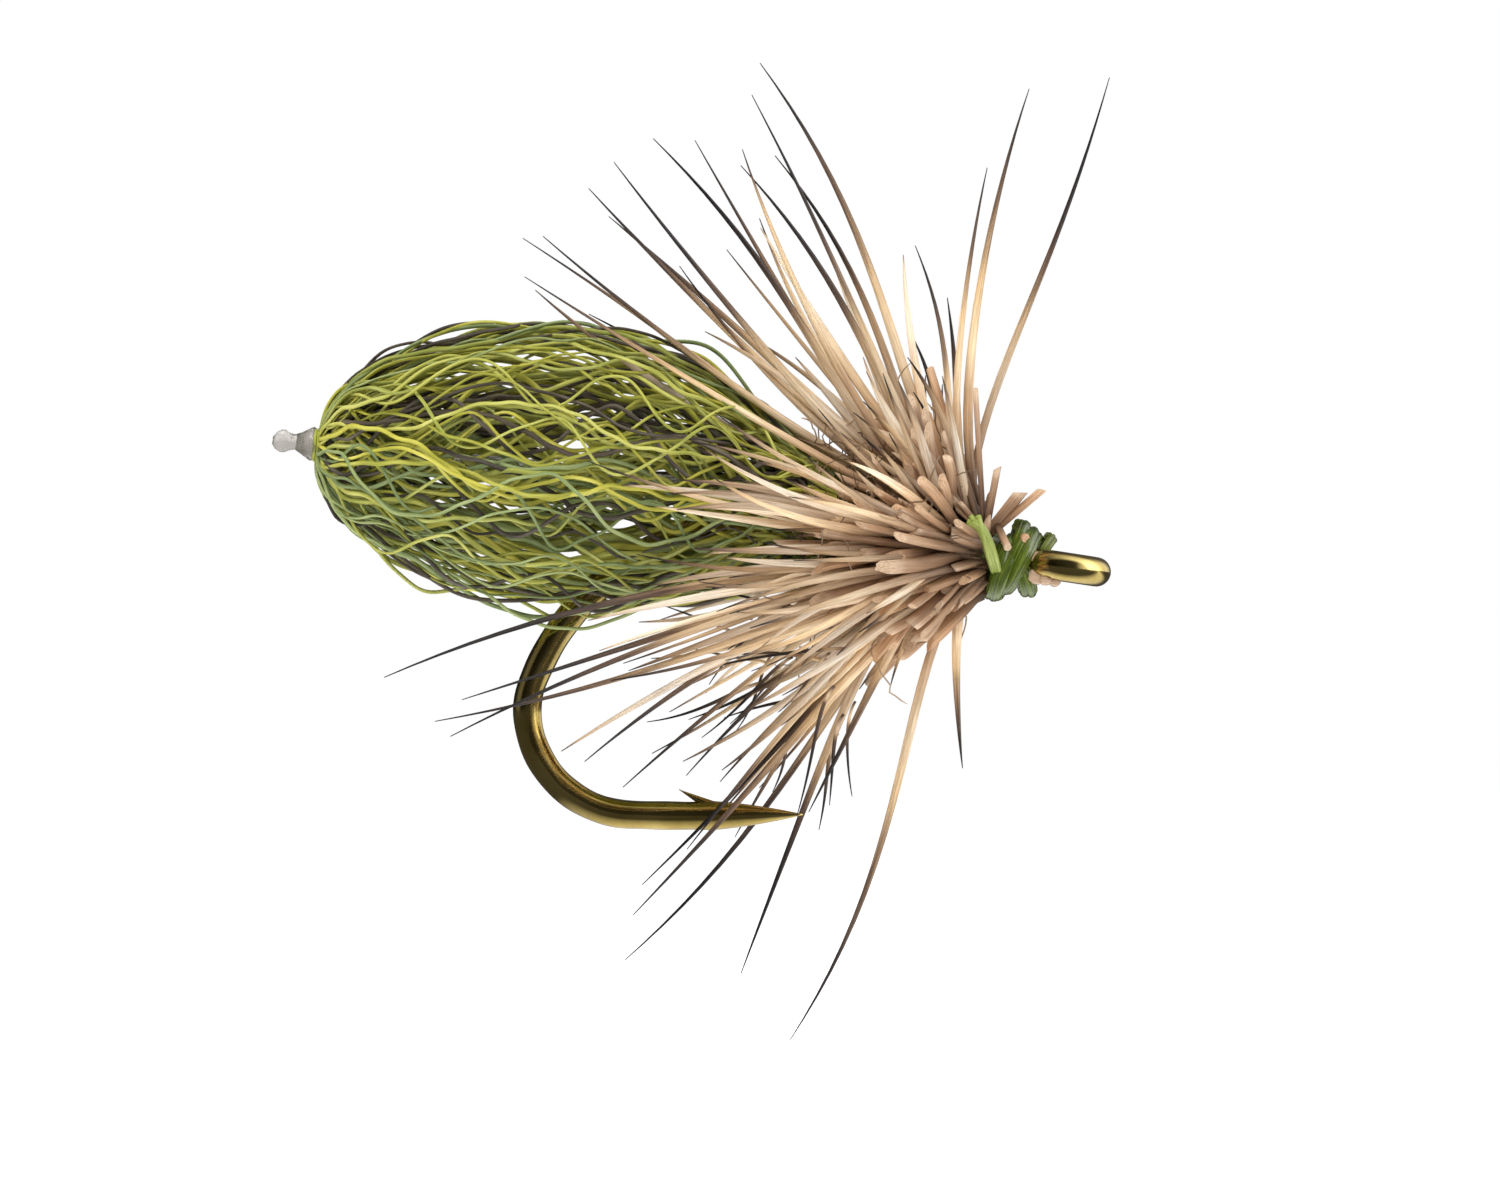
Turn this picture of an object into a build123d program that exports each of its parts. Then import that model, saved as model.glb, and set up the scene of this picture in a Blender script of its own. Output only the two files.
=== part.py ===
"""A dry fly: a curved ring-eye hook with a see-through extended body and a collar of flared hair.

The origin is the centre of the hook eye's hole. +X points forward past the eye, +Z is up with the
hook point below, and the near side of the fly faces -Y. All sizes are in millimetres and degrees.
"""

import os
from math import atan2, cos, degrees, hypot, pi, radians, sin
from random import Random

from build123d import *

# Hook wire, ring eye and point
WIRE_R = 0.315
EYE_WIRE_R = 0.32
EYE_RING_R = 0.663  # centre line of the ring
EYE_HOLE_R = 0.375
EYE_TILT = 8.7  # the ring slopes down towards the front
EYE_SEAM = 0.05  # slit where the bent wire closes on the shank
EYE_SEAM_ANGLE = 205
SHANK_HEADING = 168.8  # direction of the wire as it leaves the eye, from +X towards +Z
HOOK_ARCS = ((82.9, 3.6), (5.44, 76.8), (1.73, 27.5), (2.32, 80.9), (30.0, 3.0))  # radius, turn
POINT_LENGTH = 2.2
POINT_SHOULDERS = ((1.1, 0.25), (1.72, 0.15))  # distance along the point, and its radius there
POINT_TIP_R = 0.012
BARB_FROM_TIP = 1.9
BARB_LENGTH = 0.86
BARB_R = 0.12
BARB_RISE = 24

# Thread on the shank, the stub of the core beside it, and the wraps that hold them together
THREAD_GAP = 0.01
THREAD_THICKNESS = 0.04
THREAD_FROM, THREAD_TO = 1.0, 4.12  # distances along the wire from the eye
RIDGE_SHARE = 0.53  # radius of a turn's ridge as a share of the winding's pitch
CORE_R = 0.2
STUB_FROM, STUB_TO = 2.76, 4.26
LASHING_FROM, LASHING_TO = 2.8, 4.1
LASHING_TURNS = 10
LASHING_THICKNESS = 0.035
LASHING_RIDGE = 0.02

# Extended body: an egg of strands from the tail ring to the front ring
TAIL = (-16.2, 2.66)
FRONT = (-4.95, 1.12)
APEX_FROM_TAIL = 5.25
BODY_R = 3.15
STRAND_R = 0.055
SHELLS = 2
SHELL_STEP = 0.32
STRANDS_PER_SHELL = 18
TAIL_RING_R = 0.44
TAIL_TURN_R = 1.75
TAIL_STEP = 0.2
FRONT_RING_R = 1.0
FRONT_STEP = 0.2
WIRE_GAP_HALF_ANGLE = 10  # no strand runs here, where the hook wire leaves the body
STRAND_COLOURS = ("chartreuse", "olive", "sage", "dark")
CORE_END = (-5.02, 1.405)
KNOB_CENTRE = (-17.0, 2.75)
KNOB_R = 0.25
TAIL_TIE_FROM, TAIL_TIE_LENGTH, TAIL_TIE_R, TAIL_TIE_TURNS = 0.66, 0.5, 0.34, 5
CEMENT_CONE_LENGTH = 0.24
CEMENT_CONE_GAP = 0.07  # between the tail thread and the cement

# Thorax, front tie, collar and head
THORAX_FROM, THORAX_TO = 2.86, 3.68
THORAX_R = 0.86
THORAX_BORE_R = 0.66
BUNDLE_DROP = 0.06  # how far the thorax sits below the middle of wire and core
TIE_FROM, TIE_TO = 3.74, 4.08
TIE_R, TIE_TURNS = 0.84, 4
COLLAR_FROM, COLLAR_TO = 1.13, 1.25
COLLAR_R, COLLAR_TURNS = 0.5, 3
HEAD_TILT = 27
HEAD_BORE_LENGTH = 4
HEAD_BANDS = ((-1.08, 0.12, 0.66, 0.15), (-1.4, 0.2, 0.56, 0.14))  # x, z, ring radius, band radius
HEAD_CORE_FROM, HEAD_CORE_TO = 0.4, 0.98
HEAD_CORE_FRONT_R, HEAD_CORE_R = 0.38, 0.46
WHIP_X, WHIP_Z, WHIP_R, WHIP_THREAD_R = -0.84, 0.42, 0.34, 0.045
CEMENT_CENTRE = (-0.5, -0.42, -0.47)
CEMENT_HALF_LENGTH, CEMENT_R = 0.3, 0.18
CEMENT_STEP = 20  # degrees between the points of its outline

# Hair. A hair is thin at its root, full along its middle and fine at its tip
HAIR_R, HAIR_ROOT_R, HAIR_TIP_R = 0.125, 0.05, 0.015
HAIR_FULL_FROM, HAIR_FULL_TO = 0.22, 0.5  # shares of its length
HAIR_RING_R = 0.43  # roots stand on this ring around the shank
BUTT_R = 0.12
BUTT_START = 0.35  # cut butts start this far out from the root ring
JITTER = 1.2
SEED = 7

# Rows of hair: distance of the roots along the wire, lean from straight back along it, first and
# last direction round it (0 up, 90 near side, 180 down), number of hairs, shortest, longest
HAIR_ROWS = {
    "hair_wing_upright": (
        (1.36, 96, 3, 3, 1, 10.25, 10.3),
        (1.47, 88, -20, 20, 2, 8.6, 10.0),
        (1.58, 79, -34, 34, 3, 5.6, 8.0),
    ),
    "hair_wing_top": (
        (1.69, 70, -42, 42, 5, 7.5, 9.2),
        (1.8, 62, -32, 32, 4, 9.4, 10.6),
        (1.91, 57, -44, 44, 5, 10.0, 11.15),
    ),
    "hair_wing_rear": (
        (2.02, 48, -58, 58, 6, 10.0, 11.2),
        (2.13, 40, -45, 45, 4, 10.4, 11.8),
        (2.24, 33, 60, 60, 1, 10.6, 11.4),
        (2.24, 33, 300, 300, 1, 10.6, 11.4),
    ),
    "hair_side_near": (
        (2.24, 36, 80, 98, 2, 7.6, 8.4),
        (2.02, 48, 84, 120, 3, 6.8, 8.0),
    ),
    "hair_side_far": (
        (2.24, 36, 262, 280, 2, 7.6, 8.4),
        (2.02, 48, 240, 276, 3, 6.8, 8.0),
    ),
    "hair_throat_rear": (
        (2.24, 40, 120, 120, 1, 12.0, 13.0),
        (2.24, 40, 240, 240, 1, 12.0, 13.0),
        (2.02, 50, 138, 138, 1, 9.0, 10.0),
        (2.02, 50, 222, 222, 1, 9.0, 10.0),
    ),
    "hair_throat_mid": (
        (1.9, 59, 128, 148, 2, 8.4, 10.2),
        (1.9, 59, 212, 232, 2, 8.4, 10.2),
        (1.79, 67, 144, 162, 2, 9.0, 10.6),
        (1.79, 67, 198, 216, 2, 9.0, 10.6),
    ),
    "hair_throat_front": (
        (1.68, 79.4, 179, 179, 1, 10.75, 10.8),
        (1.57, 84, 156, 156, 1, 6.0, 8.0),
        (1.57, 84, 204, 204, 1, 6.0, 8.0),
        (1.4, 96, 178, 178, 1, 4.6, 4.6),
    ),
}
BUTT_ROWS = {
    "hair_butts_top": ((1.4, 118, -60, -30, 2, 1.2, 2.2), (1.4, 118, 30, 60, 2, 1.2, 2.2)),
    "hair_butts_side": ((1.65, 70, 70, 120, 3, 1.5, 2.4), (1.65, 70, 240, 290, 3, 1.5, 2.4)),
    "hair_butts_lower": ((1.36, 110, 128, 150, 2, 0.9, 1.5), (1.36, 110, 210, 232, 2, 0.9, 1.5)),
}

# Loose trim
TAG_R = 0.08
TAG_POINTS = ((-2.15, -0.98, 0.98), (-1.86, -1.06, 0.5), (-1.66, -0.92, 0.02))
UNDERFUR_R = 0.02
UNDERFUR_ROOT_R = 1.15
UNDERFUR_WISPS = 9


def arc_end(x, z, heading, radius, turn):
    """Where an arc ends that starts at x, z with this heading and turns left by turn degrees."""
    after = heading + turn
    x += radius * (sin(radians(after)) - sin(radians(heading)))
    z -= radius * (cos(radians(after)) - cos(radians(heading)))
    return x, z, after


def along_hook(distance):
    """Point x, z and heading of the wire's centre line at this distance from the eye ring."""
    heading = SHANK_HEADING
    x = -EYE_RING_R * cos(radians(EYE_TILT))
    z = EYE_RING_R * sin(radians(EYE_TILT))
    for radius, turn in HOOK_ARCS:
        length = radius * radians(turn)
        if distance <= length:
            return arc_end(x, z, heading, radius, degrees(distance / radius))
        distance -= length
        x, z, heading = arc_end(x, z, heading, radius, turn)
    return x, z, heading


def hook_breaks(start, end):
    """Distances from start to end that include every join between two arcs of the hook."""
    joins, total = [], 0
    for radius, turn in HOOK_ARCS:
        total += radius * radians(turn)
        joins.append(total)
    return [start] + [j for j in joins if start < j < end] + [end]


def draw_hook_line(start, end):
    """Add the wire's centre line between two distances to the active BuildLine."""
    stations = hook_breaks(start, end)
    for a, b in zip(stations, stations[1:]):
        points = [along_hook(s)[:2] for s in (a, (a + b) / 2, b)]
        ThreePointArc(*[(x, 0, z) for x, z in points])


def heading_vector(heading):
    return Vector(cos(radians(heading)), 0, sin(radians(heading)))


def wire_plane(distance, lift=0):
    """Plane across the wire, facing along it, with local y pointing up and its origin lifted that way."""
    x, z, heading = along_hook(distance)
    forward = heading_vector(heading)
    up = Vector(forward.Z, 0, -forward.X)
    return Plane(origin=Vector(x, 0, z) + up * lift, x_dir=(0, -1, 0), z_dir=forward)


def around_shank(distance, direction):
    """Unit vector square to the wire: direction 0 is up, 90 the near side, 180 down."""
    plane = wire_plane(distance)
    return plane.y_dir * cos(radians(direction)) + plane.x_dir * sin(radians(direction))


def side_plane(origin, along):
    """Plane for drawing half a section, with local x along the axis and local y square to it."""
    return Plane(origin=origin, x_dir=along, z_dir=Plane(origin=origin, z_dir=along).x_dir)


def wind(plane, inner_r, outer_r, length, turns):
    """Add a sleeve of wound thread that starts at a plane, with its turns standing out as rings."""
    pitch = length / turns
    with Locations(plane):
        Cylinder(outer_r, length, align=(Align.CENTER, Align.CENTER, Align.MIN))
    for turn in range(turns):
        with Locations(plane.offset((turn + 0.5) * pitch)):
            Torus(outer_r, RIDGE_SHARE * pitch)
    with Locations(plane.offset(-pitch)):
        Cylinder(
            inner_r, length + 2 * pitch,
            align=(Align.CENTER, Align.CENTER, Align.MIN), mode=Mode.SUBTRACT,
        )


# ---------------------------------------------------------------- hook
HOOK_LENGTH = sum(radius * radians(turn) for radius, turn in HOOK_ARCS)
eye_axis = Vector(sin(radians(EYE_TILT)), 0, cos(radians(EYE_TILT)))
eye_plane = Plane(origin=(0, 0, 0), x_dir=heading_vector(-EYE_TILT), z_dir=eye_axis)
point_x, point_z, point_heading = along_hook(HOOK_LENGTH)
point_dir = heading_vector(point_heading)
point_plane = Plane(origin=(point_x, 0, point_z), x_dir=point_dir, z_dir=(0, -1, 0))

with BuildPart() as hook:
    with Locations(eye_plane):
        Torus(EYE_RING_R, EYE_WIRE_R)
    with BuildLine() as wire_line:
        draw_hook_line(0, HOOK_LENGTH)
    with BuildSketch(wire_plane(0)):
        Circle(WIRE_R)
    sweep(path=wire_line.line)
    with BuildSketch(point_plane):
        with BuildLine():
            Polyline(
                (0, 0), (0, WIRE_R), *POINT_SHOULDERS,
                (POINT_LENGTH, POINT_TIP_R), (POINT_LENGTH, 0),
                close=True,
            )
        make_face()
    revolve(axis=Axis((point_x, 0, point_z), point_dir))
    barb_root = point_plane.from_local_coords((POINT_LENGTH - BARB_FROM_TIP, WIRE_R - BARB_R))
    barb_dir = heading_vector(180 + point_heading - BARB_RISE)
    with Locations(Plane(origin=barb_root, z_dir=barb_dir)):
        Cone(BARB_R, POINT_TIP_R, BARB_LENGTH, align=(Align.CENTER, Align.CENTER, Align.MIN))
    with Locations(eye_plane):
        Cylinder(EYE_HOLE_R, 4 * EYE_WIRE_R, mode=Mode.SUBTRACT)
    with Locations(eye_plane * Location((0, 0, 0), (0, 0, EYE_SEAM_ANGLE))):
        Box(
            2 * EYE_RING_R, EYE_SEAM, 4 * EYE_WIRE_R,
            align=(Align.MIN, Align.CENTER, Align.CENTER), mode=Mode.SUBTRACT,
        )
hook.part.label = "hook"

# ---------------------------------------------------------------- thread and core stub on the shank
THREAD_R = WIRE_R + THREAD_GAP + THREAD_THICKNESS
STUB_LIFT = THREAD_R + THREAD_GAP + CORE_R

with BuildPart() as shank_thread_base:
    with BuildLine() as base_line:
        draw_hook_line(THREAD_FROM, THREAD_TO)
    with BuildSketch(wire_plane(THREAD_FROM)):
        Circle(THREAD_R)
        Circle(WIRE_R + THREAD_GAP, mode=Mode.SUBTRACT)
    sweep(path=base_line.line)
shank_thread_base.part.label = "shank_thread_base"

with BuildPart() as core_stub:
    stub_points = [wire_plane(s, STUB_LIFT).origin for s in (STUB_FROM, (STUB_FROM + STUB_TO) / 2, STUB_TO)]
    with BuildLine() as stub_line:
        ThreePointArc(*stub_points)
    with BuildSketch(wire_plane(STUB_FROM, STUB_LIFT)):
        Circle(CORE_R)
    sweep(path=stub_line.line)
core_stub.part.label = "core_stub"


def wrap_outline(plane, clearance):
    """Outline of thread pulled tight round the wrapped wire and the core on top of it."""
    with BuildSketch(plane) as outline:
        Circle(THREAD_R + clearance)
        with Locations((0, STUB_LIFT)):
            Circle(CORE_R + clearance)
        make_hull()
    return outline.sketch


lashing_middle = wire_plane((LASHING_FROM + LASHING_TO) / 2)
lashing_length = LASHING_TO - LASHING_FROM
lashing_inside = wrap_outline(lashing_middle, 2 * THREAD_GAP)
lashing_outside = wrap_outline(lashing_middle, 2 * THREAD_GAP + LASHING_THICKNESS)
lashing_ridge = wrap_outline(lashing_middle, 2 * THREAD_GAP + LASHING_THICKNESS + LASHING_RIDGE)
lashing_pitch = lashing_length / LASHING_TURNS

with BuildPart() as core_lashing_thread:
    extrude(lashing_outside, amount=lashing_length / 2, both=True)
    for turn in range(LASHING_TURNS):
        step = (turn + 0.5) * lashing_pitch - lashing_length / 2
        ridge = lashing_ridge.moved(Location(lashing_middle.z_dir * step))
        extrude(ridge, amount=lashing_pitch / 3, both=True)
    extrude(lashing_inside, amount=lashing_length, both=True, mode=Mode.SUBTRACT)
core_lashing_thread.part.label = "core_lashing_thread"

# ---------------------------------------------------------------- thorax, front tie, collar, head
BUNDLE_LIFT = STUB_LIFT / 2 - BUNDLE_DROP
thorax_length = THORAX_TO - THORAX_FROM
thorax_plane = wire_plane((THORAX_FROM + THORAX_TO) / 2, BUNDLE_LIFT)

with BuildPart() as thorax_dubbing:
    with BuildSketch(side_plane(thorax_plane.origin, thorax_plane.z_dir)):
        with BuildLine():
            EllipticalCenterArc(
                (0, THORAX_BORE_R), thorax_length / 2, THORAX_R - THORAX_BORE_R,
                start_angle=0, arc_size=180,
            )
            Line((-thorax_length / 2, THORAX_BORE_R), (thorax_length / 2, THORAX_BORE_R))
        make_face()
    revolve(axis=Axis(thorax_plane.origin, thorax_plane.z_dir))
thorax_dubbing.part.label = "thorax_dubbing"

with BuildPart() as body_front_tie:
    wind(wire_plane(TIE_FROM, BUNDLE_LIFT), THORAX_BORE_R, TIE_R, TIE_TO - TIE_FROM, TIE_TURNS)
body_front_tie.part.label = "body_front_tie"

with BuildPart() as collar_thread:
    wind(
        wire_plane(COLLAR_FROM), THREAD_R + THREAD_GAP, COLLAR_R,
        COLLAR_TO - COLLAR_FROM, COLLAR_TURNS,
    )
collar_thread.part.label = "collar_thread"

with BuildPart() as head_thread:
    with Locations(wire_plane(HEAD_CORE_FROM)):
        Cone(
            HEAD_CORE_FRONT_R, HEAD_CORE_R, HEAD_CORE_TO - HEAD_CORE_FROM,
            align=(Align.CENTER, Align.CENTER, Align.MIN),
        )
    for x, z, ring_r, band_r in HEAD_BANDS:
        with Locations(Plane(origin=(x, 0, z), z_dir=heading_vector(180 - HEAD_TILT))):
            Torus(ring_r - band_r, band_r)
    with Locations(wire_plane(0)):
        Cylinder(WIRE_R + THREAD_GAP, HEAD_BORE_LENGTH, mode=Mode.SUBTRACT)
    with Locations(eye_plane):
        Cylinder(EYE_RING_R + EYE_WIRE_R + THREAD_GAP, 2 * EYE_WIRE_R + THREAD_GAP, mode=Mode.SUBTRACT)
head_thread.part.label = "head_thread"

with BuildPart() as whip_finish_knot:
    with Locations(Plane(origin=(WHIP_X, 0, WHIP_Z), z_dir=heading_vector(180 - HEAD_TILT))):
        Torus(WHIP_R, WHIP_THREAD_R)
whip_finish_knot.part.label = "whip_finish_knot"

cement_outline = [
    (-CEMENT_HALF_LENGTH * cos(radians(a)), CEMENT_R * sin(radians(a)))
    for a in range(0, 181, CEMENT_STEP)
]
with BuildPart() as head_cement:
    with BuildSketch(side_plane(CEMENT_CENTRE, (1, 0, 0))):
        with BuildLine():
            Polyline(*cement_outline, close=True)
        make_face()
    revolve(axis=Axis(CEMENT_CENTRE, (1, 0, 0)))
head_cement.part.label = "head_cement"

# ---------------------------------------------------------------- hair
draw = Random(SEED)


def lean_vector(distance, lean, direction):
    """Direction of a hair that leans this far from straight back along the wire, this way round it."""
    back = wire_plane(distance).z_dir
    return back * cos(radians(lean)) + around_shank(distance, direction) * sin(radians(lean))


def spread(first, last, count):
    """Evenly spaced values from first to last, or their middle if there is only one."""
    if count == 1:
        return [(first + last) / 2]
    return [first + (last - first) * i / (count - 1) for i in range(count)]


def rooted(rows):
    """Root point, unit vector and length of each hair in some rows."""
    for distance, lean, first, last, count, shortest, longest in rows:
        for direction in spread(first, last, count):
            turned = direction + draw.uniform(-JITTER, JITTER)
            leaned = lean + draw.uniform(-JITTER, JITTER)
            root = wire_plane(distance).origin + around_shank(distance, turned) * HAIR_RING_R
            yield root, lean_vector(distance, leaned, turned), draw.uniform(shortest, longest)


def grow_hair(root, along, length):
    """Add a hair: round in section, thin at its root, full in its middle and fine at its tip."""
    with BuildSketch(side_plane(root, along)) as half:
        with BuildLine():
            Polyline(
                (0, 0),
                (0, HAIR_ROOT_R),
                (HAIR_FULL_FROM * length, HAIR_R),
                (HAIR_FULL_TO * length, HAIR_R),
                (length, HAIR_TIP_R),
                (length, 0),
                close=True,
            )
        make_face()
    revolve(half.sketch, axis=Axis(root, along))


def grow_butt(root, along, length):
    """Add a cut hair end, which is round and blunt."""
    with Locations(Plane(origin=root + along * BUTT_START, z_dir=along)):
        Cylinder(BUTT_R, length, align=(Align.CENTER, Align.CENTER, Align.MIN))


hair_parts = {}
for rows_by_name, grow in ((HAIR_ROWS, grow_hair), (BUTT_ROWS, grow_butt)):
    for name, rows in rows_by_name.items():
        with BuildPart() as bundle:
            for root, along, length in rooted(rows):
                grow(root, along, length)
        bundle.part.label = name
        hair_parts[name] = bundle.part

# ---------------------------------------------------------------- loose trim at the collar
with BuildPart() as strand_tag:
    with BuildLine() as tag_line:
        ThreePointArc(*TAG_POINTS)
    with BuildSketch(Plane(origin=tag_line.line @ 0, z_dir=tag_line.line % 0)):
        Circle(TAG_R)
    sweep(path=tag_line.line)
strand_tag.part.label = "strand_tag"

with BuildPart() as underfur:
    for direction in spread(20, 160, UNDERFUR_WISPS):
        distance = draw.uniform(1.5, 2.6)
        out = around_shank(distance, direction)
        back = wire_plane(distance).z_dir
        root = wire_plane(distance).origin + out * UNDERFUR_ROOT_R
        bow = root + out * draw.uniform(0.4, 0.7) + back * draw.uniform(0.3, 0.6)
        tip = root + out * draw.uniform(0.4, 0.8) + back * draw.uniform(1.1, 1.8)
        with BuildLine() as wisp_line:
            ThreePointArc(root, bow, tip)
        with BuildSketch(Plane(origin=root, z_dir=wisp_line.line % 0)):
            Circle(UNDERFUR_R)
        sweep(path=wisp_line.line)
underfur.part.label = "underfur"

# ---------------------------------------------------------------- extended body
body_length = hypot(FRONT[0] - TAIL[0], FRONT[1] - TAIL[1])
body_forward = Vector(FRONT[0] - TAIL[0], 0, FRONT[1] - TAIL[1]) / body_length
body_up = Vector(-body_forward.Z, 0, body_forward.X)
near_side = Vector(0, -1, 0)


def body_point(along, radius, direction):
    """Point of the extended body: distance from the tail ring, radius, and direction round the axis."""
    outward = body_up * cos(radians(direction)) + near_side * sin(radians(direction))
    return Vector(TAIL[0], 0, TAIL[1]) + body_forward * along + outward * radius


def strand_outline(shell):
    """Points of one strand as distance and radius: a tight turn, a long rise, then a long fall.

    The first two arcs make a quarter of an oval, from square to the axis to parallel with it.
    """
    start, top = shell * TAIL_STEP, BODY_R - shell * SHELL_STEP
    front_r = FRONT_RING_R - shell * FRONT_STEP
    run, rise = APEX_FROM_TAIL - start, top - TAIL_RING_R
    rise_r = (run**2 + rise**2 - 2 * run * TAIL_TURN_R) / (2 * (rise - TAIL_TURN_R))
    slope = atan2(rise_r - rise, run - TAIL_TURN_R)
    turn_centre = (start + TAIL_TURN_R, TAIL_RING_R)
    join = (
        turn_centre[0] - TAIL_TURN_R * cos(slope),
        turn_centre[1] + TAIL_TURN_R * sin(slope),
    )
    turn_middle = (
        turn_centre[0] - TAIL_TURN_R * cos(slope / 2),
        turn_centre[1] + TAIL_TURN_R * sin(slope / 2),
    )
    rise_angle = (pi / 2 - slope) / 2
    rise_middle = (
        APEX_FROM_TAIL - rise_r * sin(rise_angle),
        top - rise_r * (1 - cos(rise_angle)),
    )
    fall_run, fall = body_length - APEX_FROM_TAIL, top - front_r
    fall_r = (fall_run**2 + fall**2) / (2 * fall)
    fall_angle = atan2(fall_run, fall_r - fall) / 2
    fall_middle = (
        APEX_FROM_TAIL + fall_r * sin(fall_angle),
        top - fall_r * (1 - cos(fall_angle)),
    )
    return (
        (start, TAIL_RING_R), turn_middle, join,
        rise_middle, (APEX_FROM_TAIL, top),
        fall_middle, (body_length, front_r),
    )


def grow_strand(shell, direction):
    """Add one strand, which lies in a plane through the body's axis."""
    points = [body_point(a, r, direction) for a, r in strand_outline(shell)]
    with BuildLine() as line:
        for first in (0, 2, 4):
            ThreePointArc(*points[first:first + 3])
    with BuildSketch(Plane(origin=line.line @ 0, z_dir=line.line % 0)) as section:
        Circle(STRAND_R)
    sweep(section.sketch, path=line.line)


def strands_of(colour):
    """Shell and direction of each strand of one colour."""
    step = 360 / STRANDS_PER_SHELL
    for shell in range(SHELLS):
        for i in range(STRANDS_PER_SHELL):
            direction = (i + shell / SHELLS) * step
            clear = abs(direction - 180) > WIRE_GAP_HALF_ANGLE
            if clear and (i + shell) % len(STRAND_COLOURS) == colour:
                yield shell, direction


strand_parts = {}
for colour, colour_name in enumerate(STRAND_COLOURS):
    with BuildPart() as strands:
        for shell, direction in strands_of(colour):
            grow_strand(shell, direction)
    strands.part.label = f"body_strands_{colour_name}"
    strand_parts[strands.part.label] = strands.part

core_length = hypot(KNOB_CENTRE[0] - CORE_END[0], KNOB_CENTRE[1] - CORE_END[1])
core_back = Vector(KNOB_CENTRE[0] - CORE_END[0], 0, KNOB_CENTRE[1] - CORE_END[1]) / core_length
core_front = Vector(CORE_END[0], 0, CORE_END[1])

with BuildPart() as mono_core:
    with BuildSketch(side_plane(core_front, core_back)):
        with BuildLine():
            Polyline(
                (0, 0),
                (0, CORE_R / 2),
                (CORE_R / 2, CORE_R),
                (core_length - KNOB_R, CORE_R),
                (core_length - KNOB_R / 2, KNOB_R),
                (core_length + KNOB_R / 2, KNOB_R),
                (core_length + KNOB_R, 0.7 * KNOB_R),
                (core_length + KNOB_R / 2, 0),
                close=True,
            )
        make_face()
    revolve(axis=Axis(core_front, core_back))
mono_core.part.label = "mono_core"


def core_plane(from_knob):
    """Plane across the core at this distance in front of the knob's centre, facing forward."""
    return Plane(
        origin=core_front + core_back * (core_length - from_knob),
        x_dir=(0, -1, 0), z_dir=core_back * -1,
    )


with BuildPart() as tail_tie_thread:
    wind(core_plane(TAIL_TIE_FROM), CORE_R + THREAD_GAP, TAIL_TIE_R, TAIL_TIE_LENGTH, TAIL_TIE_TURNS)
tail_tie_thread.part.label = "tail_tie_thread"

with BuildPart() as tail_cement:
    with Locations(core_plane(TAIL_TIE_FROM - CEMENT_CONE_GAP - CEMENT_CONE_LENGTH)):
        Cone(
            KNOB_R, TAIL_TIE_R, CEMENT_CONE_LENGTH,
            align=(Align.CENTER, Align.CENTER, Align.MIN),
        )
        Cylinder(CORE_R + THREAD_GAP, 3 * CEMENT_CONE_LENGTH, mode=Mode.SUBTRACT)
tail_cement.part.label = "tail_cement"

# ---------------------------------------------------------------- write the parts
all_parts = [
    hook.part, shank_thread_base.part, core_stub.part, core_lashing_thread.part,
    thorax_dubbing.part, body_front_tie.part, collar_thread.part, head_thread.part,
    whip_finish_knot.part, head_cement.part, strand_tag.part, underfur.part,
    mono_core.part, tail_tie_thread.part, tail_cement.part,
    *hair_parts.values(), *strand_parts.values(),
]
os.makedirs("parts", exist_ok=True)
for piece in all_parts:
    export_step(piece, f"parts/{piece.label}.step")
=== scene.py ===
"""A dry fly: hair, crinkled body strands, thread, cement and hook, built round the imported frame.

Shapes are worked out in millimetres, with the origin in the hook's eye, +X forward and +Z up, and
stored in metres. The near side of the fly faces -Y.
"""
from math import atan2, cos, degrees, hypot, pi, radians, sin
from random import Random

import bpy
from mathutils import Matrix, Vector, noise


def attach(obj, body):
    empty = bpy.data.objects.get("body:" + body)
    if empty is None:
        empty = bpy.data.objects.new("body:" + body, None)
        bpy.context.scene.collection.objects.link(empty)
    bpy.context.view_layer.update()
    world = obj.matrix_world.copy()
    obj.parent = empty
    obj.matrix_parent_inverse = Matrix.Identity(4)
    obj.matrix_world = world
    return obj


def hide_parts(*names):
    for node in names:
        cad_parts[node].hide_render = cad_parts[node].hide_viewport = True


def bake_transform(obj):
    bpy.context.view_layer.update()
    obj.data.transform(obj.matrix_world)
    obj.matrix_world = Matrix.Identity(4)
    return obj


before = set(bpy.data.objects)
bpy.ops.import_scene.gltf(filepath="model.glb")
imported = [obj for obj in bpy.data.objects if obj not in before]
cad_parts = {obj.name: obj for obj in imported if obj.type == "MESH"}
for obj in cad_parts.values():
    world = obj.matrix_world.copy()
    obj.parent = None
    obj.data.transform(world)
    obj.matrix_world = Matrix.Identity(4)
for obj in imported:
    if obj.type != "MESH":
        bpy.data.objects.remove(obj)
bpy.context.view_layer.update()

MM = 0.001
FRONT_BODY, REAR_BODY = "hook_dressing", "extended_body"

# Hook wire, as arcs that start behind the eye
WIRE_R = 0.315
EYE_WIRE_R, EYE_RING_R, EYE_TILT = 0.32, 0.663, 8.7
RING_START, RING_GAP = 202, 4  # degrees round the eye where its wire starts, and left open there
SHANK_HEADING = 168.8
HOOK_ARCS = ((82.9, 3.6), (5.44, 76.8), (1.73, 27.5), (2.32, 80.9), (30.0, 3.0))
POINT_LENGTH = 2.2
BARB_FROM_TIP, BARB_LENGTH, BARB_RISE = 1.9, 0.86, 24
WIRE_STEPS, RING_STEPS, WIRE_SIDES = 150, 72, 28

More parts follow.
